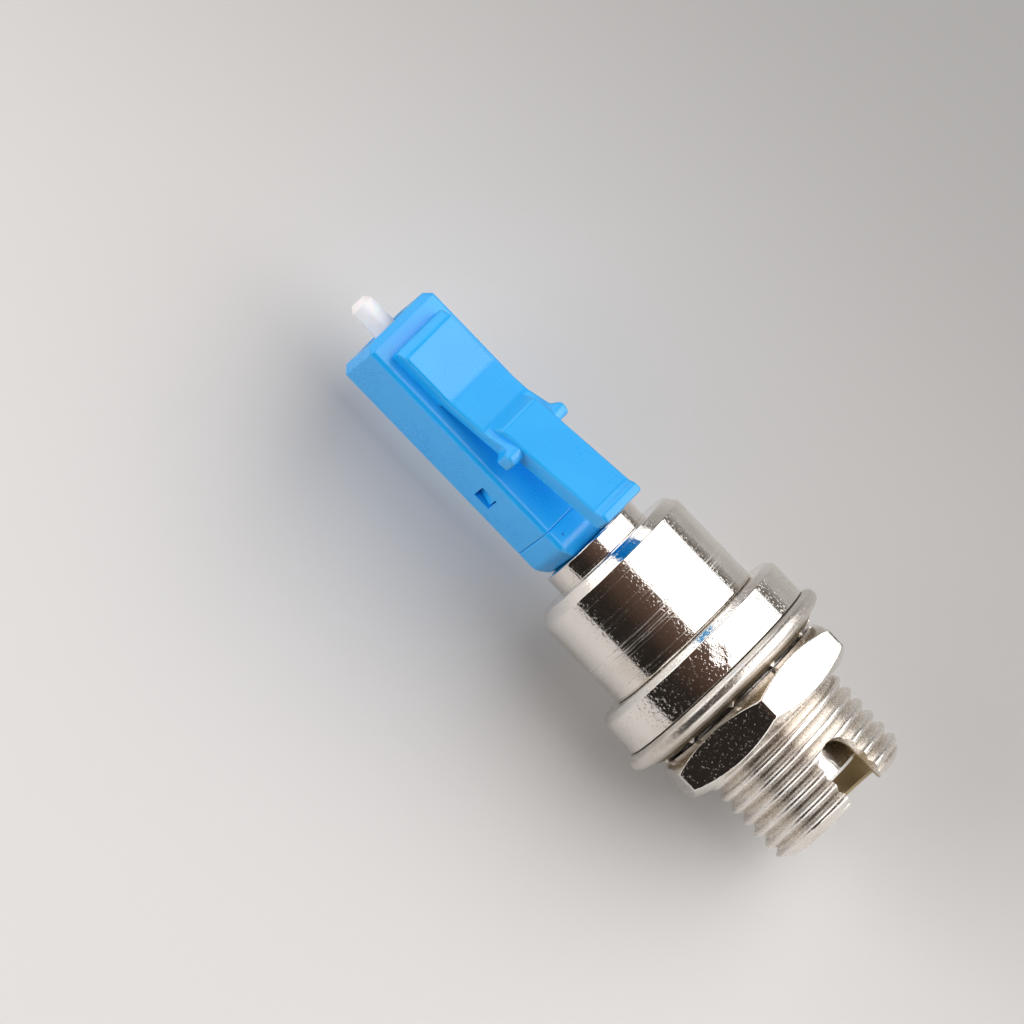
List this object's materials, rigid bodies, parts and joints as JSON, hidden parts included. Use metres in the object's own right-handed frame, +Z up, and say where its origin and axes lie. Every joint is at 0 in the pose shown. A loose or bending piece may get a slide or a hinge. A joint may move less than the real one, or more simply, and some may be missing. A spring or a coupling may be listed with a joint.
{
  "type": "hybrid fibre adapter",
  "caption": "Fibre-optic adapter with a threaded, keyed metal socket for a screw-on plug at one end and a small square latching plug at the other, held in a panel by a nut and toothed washer.",
  "frame": {"origin": "on the optical axis, at the centre of the flange face that seats on the panel", "axes": "+X along the optical axis from the square plug to the threaded socket, +Z up on the side of the latch and the keyway"},
  "size_m": [0.0329, 0.0118, 0.0123],
  "materials": {
    "nickel_body": "nickel-plated brass, finely turned",
    "nickel_nut": "nickel-plated brass, bright",
    "washer_steel": "nickel-plated spring steel",
    "blue_plastic": "moulded, satin",
    "white_ceramic": "polished",
    "holder_metal": "nickel-plated, turned",
    "spring_steel": "drawn wire",
    "glass_fibre": "bare"
  },
  "bodies": {
    "adapter": {"receptacle_body": "nickel_body", "rear_barrel": "nickel_body", "sleeve_holder": "holder_metal", "split_sleeve": "white_ceramic", "socket_stub": "white_ceramic", "stub_holder": "holder_metal", "plug_housing": "blue_plastic", "rear_cap": "blue_plastic"},
    "ferrule": {"plug_ferrule": "white_ceramic", "ferrule_holder": "holder_metal", "ferrule_spring": "spring_steel", "fibre": "glass_fibre"},
    "latch": {"latch_lever": "blue_plastic"},
    "washer": {"lock_washer": "washer_steel"},
    "nut": {"panel_nut": "nickel_nut"}
  },
  "joints": [
    {"name": "latch_press", "type": "hinge", "parent": "adapter", "child": "latch", "pos_m": [-0.018, 0, 0.00243], "axis": [0, 1, 0], "range_deg": [0, 10], "stiffness_Nm_per_rad": 0.02},
    {"name": "ferrule_float", "type": "slide", "parent": "adapter", "child": "ferrule", "axis": [1, 0, 0], "range_m": [0, 0.001], "stiffness_N_per_m": 1200, "springref_m": -0.004, "deforming": ["ferrule_spring", "fibre"]},
    {"name": "washer_slide", "type": "slide", "parent": "adapter", "child": "washer", "axis": [1, 0, 0], "range_m": [0, 0.0045]},
    {"name": "nut_turn", "type": "hinge", "parent": "washer", "child": "nut", "pos_m": [0.0025, 0, 0], "axis": [1, 0, 0], "range_deg": [0, 2160]}
  ],
  "couplings": [
    {"joint": "nut_turn", "follows": "washer_slide", "rad_per_m": 8377.5}
  ]
}
